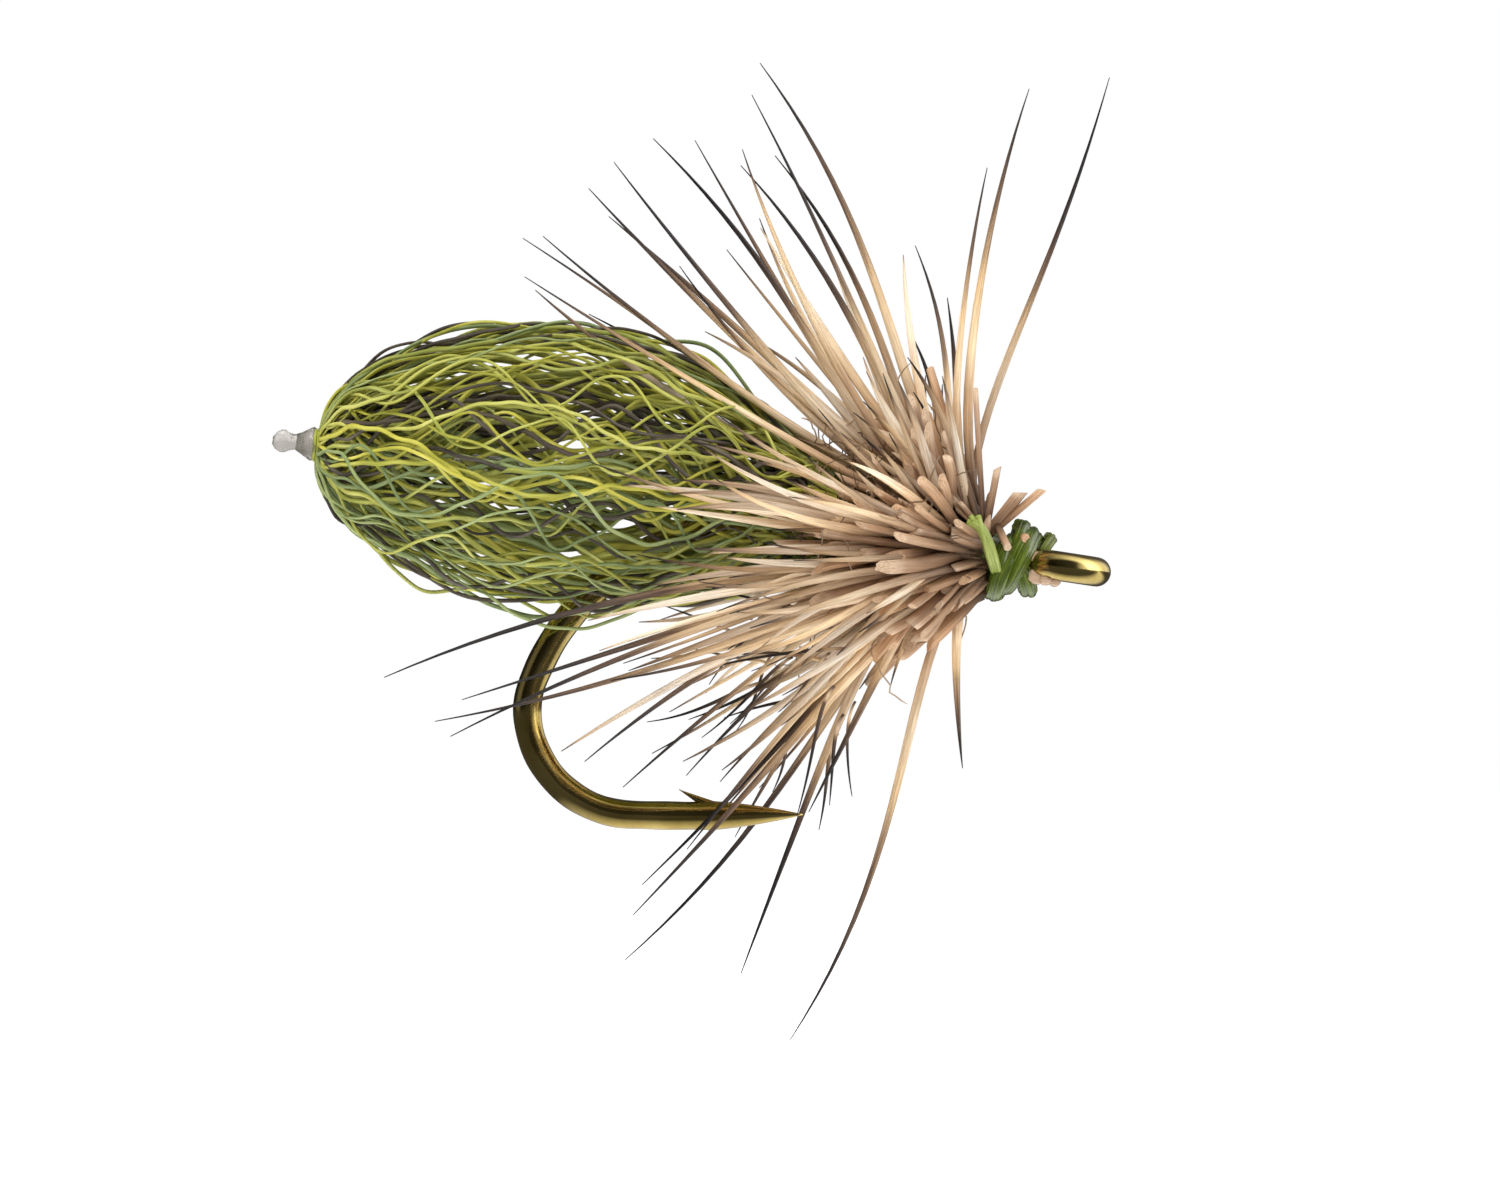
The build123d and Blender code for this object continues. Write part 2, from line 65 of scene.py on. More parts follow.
# Extended body
TAIL, FRONT = (-16.2, 2.66), (-4.95, 1.12)
CORE_END, KNOB_CENTRE = (-5.02, 1.405), (-17.0, 2.75)
CORE_R = 0.2
BODY_BOW = 0.24  # the body's middle rises this far above the line from tail to front
STRAND_COUNT, STRAND_STEPS, STRAND_LENGTH = 230, 112, 13.5

NEAR, FAR = Vector((0, -1, 0)), Vector((0, 1, 0))
TIP_SHADE = 0.78  # where a fibre's shade reaches this, its dark tip starts


# ---------------------------------------------------------------- fibres and meshes
class Fibres:
    """Round fibres gathered into one mesh.

    Each point keeps its shade along the fibre, its fibre's tone, and a grain vector that runs
    round and along the fibre.
    """

    def __init__(self):
        self.verts, self.faces, self.smooth = [], [], []
        self.shade, self.tone, self.grain = [], [], []

    def add(self, points, radii, sides=6, tone=0.5, dark_from=0.78, flat=1.0, slant=0.0):
        """Add a fibre through points; its dark tip starts at the share dark_from of its length.

        flat squashes its section, and slant cuts its end at an angle.
        """
        first, count = len(self.verts), len(points)
        normal, travelled = None, 0
        for i, point in enumerate(points):
            ahead = (points[min(i + 1, count - 1)] - points[max(i - 1, 0)]).normalized()
            if normal is None:
                normal = ahead.orthogonal()
            normal = (normal - ahead * normal.dot(ahead)).normalized()
            other = ahead.cross(normal)
            travelled += (point - points[i - 1]).length if i else 0
            share = i / (count - 1)
            if share < dark_from:
                shade = TIP_SHADE * share / dark_from
            else:
                shade = TIP_SHADE + (1 - TIP_SHADE) * (share - dark_from) / (1 - dark_from)
            for k in range(sides):
                turn = 2 * pi * k / sides
                out = normal * cos(turn) + other * sin(turn) * flat
                lean = slant * cos(turn + tone * 9) if i == count - 1 else 0
                self.verts.append((point + (out + ahead * lean) * radii[i]) * MM)
                self.shade.append(shade)
                self.tone.append(tone)
                self.grain.extend((cos(turn), sin(turn), travelled))
        for i in range(count - 1):
            for k in range(sides):
                a, b = first + i * sides + k, first + i * sides + (k + 1) % sides
                self.faces.append((a, b, b + sides, a + sides))
                self.smooth.append(True)
        last = first + (count - 1) * sides
        self.faces.append(tuple(reversed(range(first, first + sides))))
        self.faces.append(tuple(range(last, last + sides)))
        self.smooth.extend((False, False))

    def piece(self, name, material, slot, nodes=(), body=FRONT_BODY):
        """Make the mesh object, which stands for some CAD nodes and rides on a body if given one."""
        mesh = bpy.data.meshes.new(name)
        mesh.from_pydata(self.verts, [], self.faces)
        mesh.polygons.foreach_set("use_smooth", self.smooth)
        for key, kind, field in (
            ("shade", "FLOAT", "value"), ("tone", "FLOAT", "value"),
            ("grain", "FLOAT_VECTOR", "vector"),
        ):
            layer = mesh.attributes.new(key, kind, "POINT")
            layer.data.foreach_set(field, getattr(self, key))
        mesh.materials.append(material)
        mesh.validate()
        obj = bpy.data.objects.new(name, mesh)
        bpy.context.scene.collection.objects.link(obj)
        if body:
            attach(obj, body)
        if nodes:
            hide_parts(*nodes)
        return obj


def bezier(points, share):
    """Point at a share of a Bezier curve."""
    while len(points) > 1:
        points = [a.lerp(b, share) for a, b in zip(points, points[1:])]
    return points[0]


def smooth_through(values, places, at):
    """Value at a place, by a Catmull-Rom curve through values at rising places."""
    k = max(i for i in range(len(places) - 1) if i == 0 or places[i] <= at)
    t = min(max((at - places[k]) / (places[k + 1] - places[k]), 0), 1)
    p = [values[min(max(k + i, 0), len(values) - 1)] for i in (-1, 0, 1, 2)]
    return 0.5 * (
        2 * p[1] + (p[2] - p[0]) * t
        + (2 * p[0] - 5 * p[1] + 4 * p[2] - p[3]) * t**2
        + (3 * p[1] - p[0] - 3 * p[2] + p[3]) * t**3
    )


# ---------------------------------------------------------------- materials
class Nodes:
    """A node tree of a material or a world, built from short calls."""

    def __init__(self, owner):
        owner.use_nodes = True
        self.tree = owner.node_tree
        self.tree.nodes.clear()

    def add(self, kind, inputs=(), out=0, **settings):
        """Add a node; inputs are (socket, value or output) pairs. Returns one of its outputs."""
        node = self.tree.nodes.new("ShaderNode" + kind)
        for key, value in settings.items():
            setattr(node, key, value)
        for socket, value in inputs:
            if isinstance(value, bpy.types.NodeSocket):
                self.tree.links.new(value, node.inputs[socket])
            else:
                node.inputs[socket].default_value = value
        return node.outputs[out]

    def attribute(self, key, out="Fac"):
        return self.add("Attribute", attribute_name=key, out=out)

    def math(self, operation, a, b=0.5):
        return self.add("Math", ((0, a), (1, b)), operation=operation)

    def noise(self, vector, scale, detail=3.0, distortion=0.0):
        return self.add("TexNoise", (
            ("Vector", vector), ("Scale", scale), ("Detail", detail), ("Distortion", distortion),
        ))

    def vector(self, operation, a, b):
        return self.add("VectorMath", ((0, a), (1, b)), operation=operation)

    def axes(self, vector, *numbers):
        """Some of a vector's values: 0 is X, 1 is Y and 2 is Z."""
        return [self.add("SeparateXYZ", ((0, vector),), out=number) for number in numbers]

    def mix(self, factor, a, b, blend="MIX"):
        return self.add("Mix", (
            (0, factor), (6, a), (7, b),
        ), out=2, data_type="RGBA", blend_type=blend)

    def map_range(self, value, first, last, low=0.0, high=1.0):
        """Map first..last to low..high."""
        return self.add("MapRange", (
            ("Value", value), ("From Min", first), ("From Max", last),
            ("To Min", low), ("To Max", high),
        ))

    def spread(self, value, low, high):
        """Map 0..1 to low..high."""
        return self.map_range(value, 0.0, 1.0, low, high)

    def in_reflections(self):
        """1 for rays that a glossy surface reflects, 0 for those that pass through clear matter."""
        return self.math(
            "SUBTRACT", self.add("LightPath", out="Is Glossy Ray"),
            self.add("LightPath", out="Is Transmission Ray"),
        )

    def ramp(self, factor, stops):
        node = self.tree.nodes.new("ShaderNodeValToRGB")
        self.tree.links.new(factor, node.inputs[0])
        elements = node.color_ramp.elements
        elements[0].position, elements[1].position = stops[0][0], stops[-1][0]
        elements[0].color, elements[1].color = (*stops[0][1], 1), (*stops[-1][1], 1)
        for place, colour in stops[1:-1]:
            elements.new(place).color = (*colour, 1)
        return node.outputs[0]


class Graph(Nodes):
    """A material with one Principled shader; its finish is set on the shader's own sockets."""

    def __init__(self, name, **finish):
        self.material = bpy.data.materials.new(name)
        super().__init__(self.material)
        self.shader = self.tree.nodes.new("ShaderNodeBsdfPrincipled")
        output = self.tree.nodes.new("ShaderNodeOutputMaterial")
        self.tree.links.new(self.shader.outputs[0], output.inputs[0])
        for key, value in finish.items():
            socket = key.replace("_", " ").title().replace("Ior", "IOR")
            self.shader.inputs[socket].default_value = value

    def grain_noise(self, round_scale, along_scale, detail=3.0):
        """Noise that streaks along a fibre and differs from fibre to fibre."""
        scale = (round_scale, round_scale, along_scale)
        grain = self.vector("MULTIPLY", self.attribute("grain", "Vector"), scale)
        shift = self.math("MULTIPLY", self.attribute("tone"), 97.0)
        offset = self.add("CombineXYZ", ((0, shift), (1, shift), (2, shift)))
        return self.noise(self.vector("ADD", grain, offset), 1.0, detail)

    def finish(self, colour, roughness, height, depth, strength):
        """Plug in the colour, roughness and a bump this many millimetres deep."""
        bump = self.add("Bump", (
            ("Height", height), ("Strength", strength), ("Distance", depth * MM),
        ))
        for value, socket in ((colour, "Base Color"), (roughness, "Roughness"), (bump, "Normal")):
            self.tree.links.new(value, self.shader.inputs[socket])
        return self.material


def hair_material(name, stops, tone_reach, roughness=(0.38, 0.6)):
    g = Graph(name, specular_ior_level=0.35)
    streak = g.grain_noise(1.6, 0.7)
    wander = g.math("ADD", g.attribute("shade"), g.spread(streak, -0.09, 0.09))
    wander = g.math("ADD", wander, g.spread(g.attribute("tone"), -tone_reach, tone_reach))
    colour = g.ramp(wander, stops)
    fine = g.grain_noise(4.0, 1.2, 4.0)
    flecks = g.ramp(fine, ((0.3, (0.5, 0.45, 0.4)), (0.6, (1, 1, 1))))
    colour = g.mix(0.75, colour, flecks, "MULTIPLY")
    warm = g.ramp(g.attribute("tone"), (
        (0, (1.25, 1.14, 0.98)), (0.5, (1, 0.96, 0.92)), (1, (0.6, 0.5, 0.42)),
    ))
    colour = g.mix(1.0, colour, warm, "MULTIPLY")
    return g.finish(colour, g.spread(fine, *roughness), streak, 0.03, 0.5)


def strand_material(name, base, pale, deep):
    g = Graph(name, specular_ior_level=0.4)
    patch = g.grain_noise(0.35, 0.9, 2.0)
    colour = g.ramp(patch, ((0.28, deep), (0.5, base), (0.72, pale)))
    fine = g.grain_noise(3.0, 2.5, 3.0)
    shade = g.ramp(g.attribute("tone"), (
        (0, (0.75, 0.78, 0.75)), (0.6, (1, 1, 1)), (1, (1.15, 1.1, 1.0)),
    ))
    colour = g.mix(1.0, colour, shade, "MULTIPLY")
    return g.finish(colour, g.spread(fine, 0.35, 0.6), fine, 0.015, 0.5)


def thread_material(name, base, pale, deep, roughness=(0.25, 0.5), coat=0.3):
    g = Graph(name, coat_weight=coat, coat_roughness=0.12)
    fibre = g.grain_noise(5.0, 0.8, 4.0)
    blotch = g.noise(g.add("TexCoord", out="Object"), 2600.0, 2.0)
    colour = g.ramp(fibre, ((0.3, deep), (0.5, base), (0.7, pale)))
    colour = g.mix(g.spread(blotch, 0.0, 0.45), colour, (*deep, 1))
    return g.finish(colour, g.spread(fibre, *roughness), fibre, 0.02, 0.8)


def wound_material(name, base, deep, turns_per_mm):
    """Thread wound closely, for a CAD solid that has no fibres of its own."""
    g = Graph(name, coat_weight=0.2, coat_roughness=0.2)
    place = g.add("TexCoord", out="Object")
    wave = g.add("TexWave", (
        ("Vector", place), ("Scale", 1000 * turns_per_mm / 3.14), ("Distortion", 1.5),
        ("Detail", 2.0),
    ), out="Fac", wave_type="BANDS", bands_direction="X")
    speck = g.noise(place, 9000.0, 3.0)
    colour = g.mix(wave, (*deep, 1), (*base, 1))
    colour = g.mix(g.spread(speck, 0.0, 0.6), colour, (*deep, 1))
    return g.finish(colour, g.spread(speck, 0.4, 0.7), wave, 0.02, 0.8)


def clear_material(name, tint, scale, depth, transmission=0.9, roughness=0.08):
    g = Graph(name, transmission_weight=transmission, ior=1.5, coat_weight=0.5)
    place = g.add("TexCoord", out="Object")
    lumps = g.noise(place, scale, 3.0, 0.6)
    cloud = g.noise(place, scale * 0.6, 2.0)
    colour = g.ramp(cloud, ((0.35, tint), (0.65, tuple(min(c * 1.25, 1) for c in tint))))
    return g.finish(colour, g.spread(lumps, roughness, roughness + 0.22), lumps, depth, 0.6)


DARK_TIP = ((0.8, (0.17, 0.11, 0.075)), (0.88, (0.04, 0.034, 0.034)), (1.0, (0.014, 0.014, 0.017)))
# The dark stops at the root end of this ramp are painted shade where the hairs crowd together at the
# shank. The cream and amber bands and the dark tip are the hair's own colour.
HAIR = hair_material("deer_hair", (
    (0.0, (0.08, 0.05, 0.032)), (0.12, (0.24, 0.155, 0.1)), (0.3, (0.6, 0.44, 0.3)),
    (0.5, (0.88, 0.74, 0.54)), (0.66, (0.74, 0.56, 0.35)), (0.74, (0.42, 0.3, 0.19)), *DARK_TIP,
), 0.06)
PALE_HAIR = hair_material("pale_hair", (
    (0.0, (0.16, 0.1, 0.06)), (0.15, (0.5, 0.35, 0.23)), (0.35, (0.9, 0.73, 0.52)),
    (0.6, (1.0, 0.93, 0.8)), (0.8, (0.72, 0.56, 0.38)), (0.92, (0.3, 0.21, 0.14)),
    (1.0, (0.1, 0.07, 0.055)),
), 0.08)
# Darker towards the root end is painted shade between the crowded cut ends. The pale stop at the far
# end is the cut end's own colour.
BUTT = hair_material("hair_base", (
    (0.0, (0.07, 0.04, 0.022)), (0.3, (0.2, 0.12, 0.07)), (0.6, (0.44, 0.28, 0.17)),
    (0.9, (0.6, 0.41, 0.27)), (1.0, (0.84, 0.66, 0.48)),
), 0.12, (0.3, 0.55))
UNDERFUR = hair_material("underfur", (
    (0.0, (0.2, 0.13, 0.08)), (0.5, (0.42, 0.3, 0.2)), (1.0, (0.5, 0.4, 0.3)),
), 0.2)
DUBBING = hair_material("dubbing", (
    (0.0, (0.05, 0.03, 0.018)), (0.5, (0.14, 0.085, 0.045)), (1.0, (0.26, 0.17, 0.09)),
), 0.2)
STRANDS = {name: strand_material(f"strand_{name}", base, pale, deep) for name, base, pale, deep in (
    ("chartreuse", (0.45, 0.43, 0.06), (0.62, 0.6, 0.15), (0.3, 0.31, 0.04)),
    ("olive", (0.41, 0.42, 0.09), (0.54, 0.55, 0.17), (0.26, 0.29, 0.05)),
    ("sage", (0.27, 0.33, 0.13), (0.39, 0.45, 0.2), (0.17, 0.22, 0.075)),
    ("dark", (0.08, 0.064, 0.048), (0.17, 0.14, 0.11), (0.035, 0.028, 0.022)),
)}
HEAD = thread_material(
    "head_thread", (0.08, 0.12, 0.008), (0.21, 0.265, 0.03), (0.025, 0.042, 0.003), (0.16, 0.3), 0.7,
)
HEAD_OLIVE = thread_material(
    "olive_thread", (0.16, 0.19, 0.03), (0.3, 0.32, 0.08), (0.05, 0.07, 0.01),
)
TAG = thread_material(
    "strand_tag", (0.36, 0.43, 0.08), (0.62, 0.66, 0.24), (0.16, 0.22, 0.025), coat=0.2,
)
TAIL_THREAD = thread_material(
    "tail_thread", (0.5, 0.52, 0.08), (0.68, 0.68, 0.2), (0.28, 0.32, 0.03),
)
TYING = wound_material("tying_thread", (0.2, 0.14, 0.07), (0.06, 0.04, 0.02), 9)
CLEAR = clear_material("clear_mono", (0.48, 0.455, 0.42), 1800.0, 0.015, 0.8, 0.1)
CEMENT = clear_material("cement", (0.55, 0.38, 0.25), 2500.0, 0.04, 0.25, 0.1)


def hook_material():
    g = Graph("hook_bronze", metallic=1.0, coat_weight=0.1, coat_roughness=0.06)
    place = g.add("TexCoord", out="Object")
    cloud = g.noise(place, 700.0, 3.0)
    scratch = g.noise(place, 9000.0, 4.0)
    colour = g.ramp(cloud, (
        (0.3, (0.38, 0.27, 0.07)), (0.5, (0.56, 0.42, 0.13)), (0.7, (0.68, 0.53, 0.2)),
    ))
    colour = g.mix(g.spread(scratch, 0.0, 0.35), colour, (0.2, 0.15, 0.05, 1))
    return g.finish(colour, g.spread(scratch, 0.08, 0.22), scratch, 0.0012, 0.4)


BRONZE = hook_material()


# ---------------------------------------------------------------- hook
def arc_end(x, z, heading, radius, turn):
    """Where an arc of this radius and turn ends, and its heading there."""
    after = heading + turn
    x += radius * (sin(radians(after)) - sin(radians(heading)))
    z -= radius * (cos(radians(after)) - cos(radians(heading)))
    return x, z, after


def along_hook(distance):
    """Point x, z and heading of the wire's centre line at this distance from the eye ring."""
    heading = SHANK_HEADING
    x, z = -EYE_RING_R * cos(radians(EYE_TILT)), EYE_RING_R * sin(radians(EYE_TILT))
    for radius, turn in HOOK_ARCS:
        length = radius * radians(turn)
        if distance <= length:
            return arc_end(x, z, heading, radius, degrees(distance / radius))
        distance -= length
        x, z, heading = arc_end(x, z, heading, radius, turn)
    return x, z, heading


def flat_point(x, z):
    """Point in the picture's plane."""
    return Vector((x, 0, z))


def unit(heading):
    """Direction in the picture's plane, in degrees from +X towards +Z."""
    return Vector((cos(radians(heading)), 0, sin(radians(heading))))


def shank(distance):
    """Point on the wire, its direction, and the direction square to it and up."""
    x, z, heading = along_hook(distance)
    forward = unit(heading)
    return flat_point(x, z), forward, flat_point(forward.z, -forward.x)


def build_hook():
    length = sum(radius * radians(turn) for radius, turn in HOOK_ARCS)
    hook = Fibres()
    points = [shank(length * i / WIRE_STEPS)[0] for i in range(WIRE_STEPS + 1)]
    radii = [WIRE_R * (0.985 + 0.015 * cos(i * 0.7)) for i in range(WIRE_STEPS + 1)]
    end, direction, _ = shank(length)
    for share in (0.08, 0.2, 0.35, 0.5, 0.62, 0.72, 0.82, 0.9, 0.96, 1.0):
        points.append(end + direction * share * POINT_LENGTH)
        radii.append(WIRE_R * (1 - share**1.6) + 0.012)
    hook.add(points, radii, WIRE_SIDES)
    ring_dir = unit(-EYE_TILT)
    ring = []
    for i in range(RING_STEPS + 1):
        turn = radians(RING_START + (360 - RING_GAP) * i / RING_STEPS)
        ring.append((ring_dir * cos(turn) + FAR * sin(turn)) * EYE_RING_R)
    rounded = [EYE_WIRE_R * 0.8, EYE_WIRE_R * 0.95]
    radii = rounded + [EYE_WIRE_R] * (RING_STEPS - 3) + rounded[::-1]
    hook.add(ring, radii, WIRE_SIDES)
    tip = end + direction * POINT_LENGTH
    above = Vector((-direction.z, 0, direction.x))
    root = tip - direction * BARB_FROM_TIP + above * (WIRE_R - 0.14)
    rise = unit(degrees(atan2(direction.z, direction.x)) + 180 - BARB_RISE)
    shares = (-0.35, 0, 0.25, 0.5, 0.75, 0.9, 1)
    barb = [root + rise * BARB_LENGTH * s + above * 0.05 * s * s for s in shares]
    hook.add(barb, [0.13, 0.125, 0.105, 0.075, 0.04, 0.018, 0.006], WIRE_SIDES // 2)
    hook.piece("hook_wire", BRONZE, "hook_wire", ["hook"])


build_hook()

# ---------------------------------------------------------------- hair
SEED, LUMP_SEED = 11, 60
draw = Random(SEED)
noise.seed_set(LUMP_SEED)  # unseeded, noise_vector differs from run to run
HAIR_STEPS, BUTT_STEPS, BUTT_SIDES = 18, 8, 10
LOOSE_TIPS = 18
TOP_BUTTS_THINNER = 0.78
LONG_GROUPS = (  # name, first picture angle, CAD node
    ("hair_upright", 0, "hair_wing_upright"),
    ("hair_wing", 104, "hair_wing_top"),
    ("hair_wing_low", 137, "hair_wing_rear"),
    ("hair_side", 157, "hair_side_near"),
    ("hair_throat_back", 190, "hair_throat_rear"),
    ("hair_throat", 212, "hair_throat_mid"),
    ("hair_throat_down", 236, "hair_throat_front"),
)
BUTT_GROUPS = (
    ("butts_top", 0, "hair_butts_top"),
    ("butts_side", 150, "hair_butts_side"),
    ("butts_lower", 205, "hair_butts_lower"),
)
HAIR_HUB = (-1.75, 0.35)

# Hairs seen one by one: tip x, tip z, share of the length that is dark, whether it's a pale hair
SEEN_HAIRS = (
    (0.98, 10.7, 0.42, 0), (-0.83, 10.35, 0.4, 0), (-1.74, 8.64, 0.36, 0), (-2.59, 5.85, 0.34, 0),
    (-3.3, 6.94, 0.4, 0), (-3.52, 6.83, 0.05, 1), (-6.65, 11.05, 0.42, 0), (-6.83, 10.18, 0.45, 0),
    (-6.33, 8.9, 0.3, 0), (-7.07, 8.68, 0.42, 0), (-8.07, 9.31, 0.45, 0), (-8.96, 9.25, 0.42, 0),
    (-9.8, 8.72, 0.4, 0), (-10.37, 8.22, 0.36, 0), (-9.96, 7.68, 0.42, 0), (-11.8, 7.14, 0.3, 0),
    (-11.35, 7.16, 0.34, 0), (-11.74, 6.27, 0.3, 0), (-11.52, 6.0, 0.2, 1), (-10.4, 5.55, 0.25, 0),
    (-14.67, -2.36, 0.5, 0), (-13.02, -2.84, 0.42, 0), (-13.59, -3.3, 0.4, 0), (-13.26, -3.62, 0.36, 0),
    (-10.91, -3.95, 0.06, 1), (-10.41, -4.17, 0.4, 0), (-9.61, -4.75, 0.36, 0), (-9.48, -2.23, 0.1, 1),
    (-9.93, -2.45, 0.3, 0), (-8.2, -3.3, 0.3, 0), (-8.26, -4.54, 0.4, 0), (-9.2, -6.86, 0.5, 0),
    (-9.39, -7.5, 0.5, 0), (-9.61, -8.58, 0.5, 0), (-7.07, -8.86, 0.4, 0), (-6.0, -10.23, 0.46, 0),
    (-2.26, -4.36, 0.45, 0), (-7.2, -5.9, 0.3, 0), (-5.6, -5.3, 0.5, 0),
    (-9.65, 1.75, 0.04, 1), (-10.35, 2.27, 0.16, 0), (-9.3, 0.27, 0.1, 0), (-10.35, -1.15, 0.04, 1),
    (-10.1, -1.8, 0.05, 1), (-8.9, 1.3, 0.05, 1), (-8.1, 2.7, 0.12, 0), (-9.0, -0.4, 0.04, 1),
)
# Hairs on the near side that lean well out of the picture, in the same form
NEAR_HAIRS = (
    (-4.6, 2.1, 0.03, 1), (-3.72, 2.0, 0.03, 1), (-6.2, 1.2, 0.05, 1), (-5.9, -0.7, 0.04, 1),
    (-6.9, 2.3, 0.12, 0), (-7.4, 0.2, 0.06, 1), (-5.4, 3.4, 0.1, 0), (-6.6, -1.7, 0.06, 1),
    (-5.0, -1.9, 0.08, 0),
)
# Cut ends seen one by one: tip x, tip z, radius
SEEN_BUTTS = (
    (-0.54, 1.67, 0.1), (-1.0, 1.62, 0.16), (-2.96, 4.29, 0.11), (-1.98, 3.85, 0.08),
    (-1.5, 2.15, 0.1),
)
# Hairs that fill the fan: first and last picture angle, least and most lean out of the picture,
# number, shortest, longest, most of the length that is dark
FANS = (
    (96, 116, 4, 50, 8, 3.0, 5.0, 0.3),
    (112, 152, 0, 26, 9, 5.6, 9.2, 0.36),
    (112, 152, 0, 55, 26, 2.8, 5.2, 0.2),
    (150, 172, 20, 50, 22, 3.6, 7.6, 0.15),
    (168, 194, 24, 52, 27, 3.6, 7.8, 0.1),
    (188, 212, 4, 50, 16, 4.0, 8.4, 0.16),
    (206, 230, 0, 32, 11, 5.0, 8.4, 0.34),
    (206, 230, 0, 55, 14, 3.0, 5.2, 0.2),
    (158, 206, 44, 53, 12, 7.2, 8.3, 0.3),
    (236, 252, 8, 40, 3, 2.0, 3.4, 0.3),
)
# Cut ends in the same form, without the last, then least and most distance along the wire and
# radius of the ring that they start from
BUTT_FANS = (
    (82, 100, 0, 55, 4, 0.5, 0.9, 1.15, 1.25, 0.4, 0.9),
    (98, 150, 0, 58, 44, 1.0, 3.2, 1.15, 2.5, 0.45, 1.05),
    (150, 205, 12, 62, 72, 1.2, 3.9, 1.15, 2.5, 0.45, 1.05),
    (205, 234, 0, 58, 44, 0.9, 2.9, 1.15, 2.5, 0.45, 1.05),
    (120, 165, 0, 60, 12, 0.6, 1.5, 0.98, 1.3, 0.6, 0.95),
    (192, 230, 0, 60, 32, 0.6, 1.7, 0.98, 1.25, 0.4, 0.95),
)


def fan_direction(angle, lean, side):
    """Direction at this angle in the picture, leaning to its far (1) or near (-1) side."""
    return unit(angle) * cos(radians(lean)) + FAR * side * sin(radians(lean))


def hair_root(direction, distance, ring):
    """Root on a ring round the shank, on the side that the hair leaves from."""
    point, forward, _ = shank(distance)
    out = direction - forward * direction.dot(forward)
    return point + out.normalized() * ring if out.length > 0.05 else point


def hair_line(root, tip, distance, bow, steps):
    """A hair that starts back along the shank, bends out, and bows towards its tip."""
    _, back, _ = shank(distance)
    reach = tip - root
    length = reach.length
    side = Vector((-reach.z, 0, reach.x)).normalized() * bow[0] + FAR * bow[1]
    start = (back * 0.35 + reach.normalized() * 0.65).normalized()
    control = [
        root, root + start * length * 0.2, root + reach * 0.5 + side * length,
        root + reach * 0.78 + side * length * 0.6, tip,
    ]
    return [bezier(control, i / steps) for i in range(steps + 1)]


def hair_radii(thick, sharp, fine=0.01, full_until=0.32):
    """Radii along a hair; a higher sharp keeps it full until nearer its tip."""
    radii = []
    for i in range(HAIR_STEPS + 1):
        t = i / HAIR_STEPS
        body = 0.72 + 0.28 * min(t / 0.2, 1)
        taper = 1 if t < full_until else 1 - ((t - full_until) / (1 - full_until)) ** sharp
        radii.append(thick * body * taper + fine * (1 - body * taper))
    return radii


def group_of(angle, groups):
    """Name of the group that an angle in the picture falls in."""
    return [name for name, start, _ in groups if angle >= start][-1]


bundles = {name: Fibres() for name, _, _ in LONG_GROUPS + BUTT_GROUPS}
pale_hairs = Fibres()


def grow(angle, root, tip, distance, thick, dark, pale, tone):
    """Grow a hair; a pale one is thicker and blunter."""
    bow = (draw.uniform(-0.085, 0.085), draw.uniform(-0.07, 0.07))
    line = hair_line(root, tip, distance, bow, HAIR_STEPS)
    radii = hair_radii(thick * 1.08, 1.9) if pale else hair_radii(thick, 1.15)
    target = pale_hairs if pale else bundles[group_of(angle, LONG_GROUPS)]
    target.add(line, radii, 7, tone, 1 - dark, draw.uniform(0.75, 1.0))


def grow_seen_hairs():
    for i, (x, z, dark, pale) in enumerate(SEEN_HAIRS + NEAR_HAIRS):
        reach = flat_point(x - HAIR_HUB[0], z - HAIR_HUB[1])
        angle = degrees(atan2(reach.z, reach.x)) % 360
        over_body = 150 < angle < 208
        on_near_side = i >= len(SEEN_HAIRS)
        if on_near_side:
            lean = draw.uniform(34, 44)
        else:
            lean = draw.uniform(23, 27) if over_body else draw.uniform(1, 16)
        side = -1 if over_body or on_near_side else draw.choice((-1, 1))
        reach.y = side * hypot(reach.x, reach.z) * sin(radians(lean))
        upright = angle < 105 or angle > 240
        distance = draw.uniform(1.25, 1.7) if upright else draw.uniform(1.4, 2.3)
        root = hair_root(reach.normalized(), distance, draw.uniform(0.35, 0.75))
        tip = Vector((x, reach.y, z))
        grow(angle, root, tip, distance, draw.uniform(0.09, 0.125), dark, pale, draw.random())


def grow_fans():
    for first, last, least, most, count, shortest, longest, dark in FANS:
        for i in range(count):
            angle = first + (last - first) * (i + draw.random()) / count
            side = -1 if i % 2 else 1
            direction = fan_direction(angle, draw.uniform(least, most), side)
            distance = draw.uniform(1.25, 2.4)
            root = hair_root(direction, distance, draw.uniform(0.35, 0.95))
            tip = root + direction * draw.uniform(shortest, longest)
            pale = draw.random() < (0.5 if 160 < angle < 216 else 0.25)
            grow(
                angle, root, tip, distance, draw.uniform(0.085, 0.125),
                draw.uniform(0.04, dark), pale, draw.random(),
            )


def grow_loose_tips():
    """Fine dark tips that lie across the hairs below."""
    for _ in range(LOOSE_TIPS):
        angle = draw.uniform(196, 232)
        direction = fan_direction(angle, draw.uniform(0, 30), draw.choice((-1, 1)))
        root = flat_point(*HAIR_HUB) + direction * draw.uniform(3.8, 5.8)
        turned = angle + draw.choice((-1, 1)) * draw.uniform(8, 40)
        across = fan_direction(turned, draw.uniform(-20, 20), 1)
        tip = root + across * draw.uniform(1.6, 3.2)
        thick, dark = draw.uniform(0.035, 0.055), draw.uniform(0.6, 0.85)
        grow(angle, root, tip, 2.0, thick, dark, 0, draw.random())


